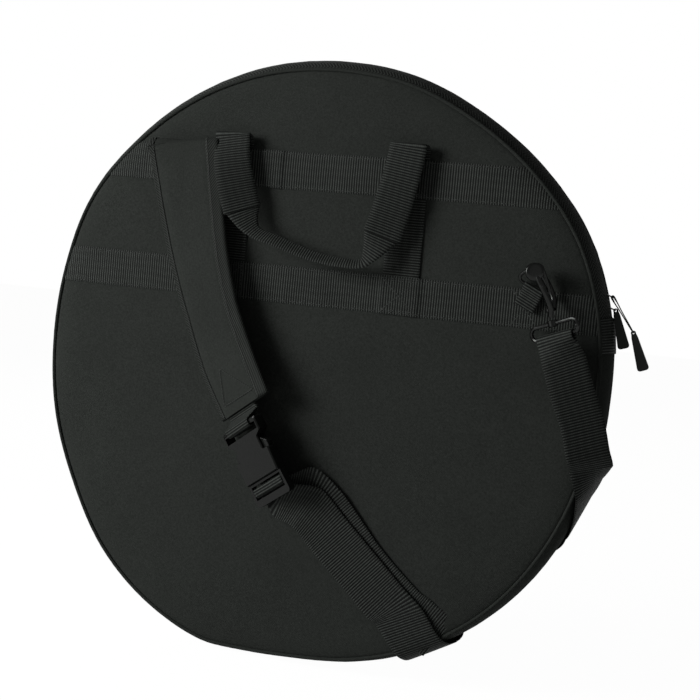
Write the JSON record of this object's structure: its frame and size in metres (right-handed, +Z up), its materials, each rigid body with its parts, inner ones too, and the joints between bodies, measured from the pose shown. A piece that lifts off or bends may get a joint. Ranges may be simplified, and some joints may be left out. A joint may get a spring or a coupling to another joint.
{
  "type": "cymbal bag",
  "caption": "Round padded cymbal bag with a zip over the top, carry handle, padded shoulder strap, side-release buckle and swivel hook.",
  "frame": {"origin": "middle of the flat bottom that the bag stands on", "axes": "+Z up; the strap side faces -Y and the zipped front faces +Y; +X is to the right as the strap side is seen"},
  "size_m": [0.6382, 0.1016, 0.599],
  "materials": {
    "cloth": "coated woven nylon",
    "webbing": "ribbed webbing",
    "foam": "closed-cell foam",
    "lining": "brushed lining",
    "coil": "moulded coil",
    "moulding": "satin moulded plastic",
    "black_metal": "black coated metal"
  },
  "bodies": {
    "bag": {"buckle_plug": "moulding", "buckle_socket": "moulding", "front_lower_cover": "cloth", "front_lower_foam": "foam", "front_lower_lining": "lining", "front_lower_piping": "cloth", "gusset_cover": "cloth", "gusset_foam": "foam", "gusset_lining": "lining", "handle_strip_left": "webbing", "handle_strip_right": "webbing", "lower_band": "webbing", "pad_binding_left": "webbing", "pad_binding_right": "webbing", "pad_foot": "cloth", "pad_tab": "webbing", "ring_tab": "webbing", "shoulder_pad": "cloth", "shoulder_strap": "webbing", "strap_side_cover": "cloth", "strap_side_foam": "foam", "strap_side_lining": "lining", "strap_side_piping": "cloth", "upper_band": "webbing", "webbing_loop": "black_metal", "zip_coil_end_left": "coil", "zip_coil_end_right": "coil", "zip_coil_strap_side": "coil", "zip_end_patch_left": "webbing", "zip_end_patch_right": "webbing", "zip_end_stop_left": "black_metal", "zip_end_stop_right": "black_metal", "zip_tape_end_left": "webbing", "zip_tape_end_right": "webbing", "zip_tape_strap_side": "webbing"},
    "mouth_flap": {"front_upper_cover": "cloth", "front_upper_foam": "foam", "front_upper_lining": "lining", "front_upper_piping": "cloth", "zip_tape_front": "webbing", "zip_coil_front": "coil"},
    "lower_slider": {"zip_slider_lower": "black_metal"},
    "lower_pull": {"zip_pull_ring_lower": "black_metal", "zip_pull_tab_lower": "moulding"},
    "upper_slider": {"zip_slider_upper": "black_metal"},
    "upper_pull": {"zip_pull_ring_upper": "black_metal", "zip_pull_cord": "webbing", "zip_pull_tab_upper": "moulding"},
    "handle": {"handle_leg_left": "webbing", "handle_leg_right": "webbing", "handle_grip": "webbing"},
    "arm_left": {"buckle_arm_left": "moulding"},
    "arm_right": {"buckle_arm_right": "moulding"},
    "ring": {"triangle_ring": "black_metal"},
    "hook": {"hook_body": "black_metal", "gate_pin": "black_metal"},
    "gate": {"hook_gate": "black_metal"}
  },
  "joints": [
    {"name": "mouth_fold", "type": "hinge", "parent": "bag", "child": "mouth_flap", "pos_m": [0, 0.028, 0.419], "axis": [-1, 0, 0], "range_deg": [0, 60]},
    {"name": "upper_slider_travel", "type": "hinge", "parent": "bag", "child": "upper_slider", "pos_m": [0, 0, 0.296], "axis": [0, 1, 0], "range_deg": [-142.87, 0]},
    {"name": "lower_slider_travel", "type": "hinge", "parent": "bag", "child": "lower_slider", "pos_m": [0, 0, 0.296], "axis": [0, 1, 0], "range_deg": [-0.12, 0.2]},
    {"name": "upper_pull_swing", "type": "hinge", "parent": "upper_slider", "child": "upper_pull", "pos_m": [0.28872, 0, 0.39947], "axis": [0, -1, 0], "range_deg": [0, 85]},
    {"name": "lower_pull_swing", "type": "hinge", "parent": "lower_slider", "child": "lower_pull", "pos_m": [0.2928, 0, 0.38728], "axis": [0, -1, 0], "range_deg": [0, 2]},
    {"name": "handle_lift", "type": "hinge", "parent": "bag", "child": "handle", "pos_m": [0, -0.0365, 0.5276], "axis": [-1, 0, 0], "range_deg": [0, 125]},
    {"name": "buckle_arm_left_squeeze", "type": "hinge", "parent": "bag", "child": "arm_left", "pos_m": [-0.04139, -0.04137, 0.17771], "axis": [-0.3794, -0.891, -0.2493], "range_deg": [-10, 0], "stiffness_Nm_per_rad": 0.3},
    {"name": "buckle_arm_right_squeeze", "type": "hinge", "parent": "bag", "child": "arm_right", "pos_m": [-0.01309, -0.05863, 0.19629], "axis": [-0.3794, -0.891, -0.2493], "range_deg": [0, 10], "stiffness_Nm_per_rad": 0.3},
    {"name": "ring_swing", "type": "hinge", "parent": "bag", "child": "ring", "pos_m": [0.22649, -0.035, 0.39857], "axis": [0.8986, 0, -0.4388], "range_deg": [0, 2]},
    {"name": "hook_swivel", "type": "hinge", "parent": "bag", "child": "hook", "pos_m": [0.24907, -0.048, 0.37387], "axis": [-0.3227, 0.0426, 0.9455], "range_deg": [-3, 1.5]},
    {"name": "gate_open", "type": "hinge", "parent": "hook", "child": "gate", "pos_m": [0.24044, -0.05491, 0.38023], "axis": [0.7161, -0.6422, 0.2734], "range_deg": [-12, 0], "stiffness_Nm_per_rad": 0.05}
  ],
  "couplings": [
    {"joint": "buckle_arm_right_squeeze", "follows": "buckle_arm_left_squeeze", "ratio": -1}
  ]
}
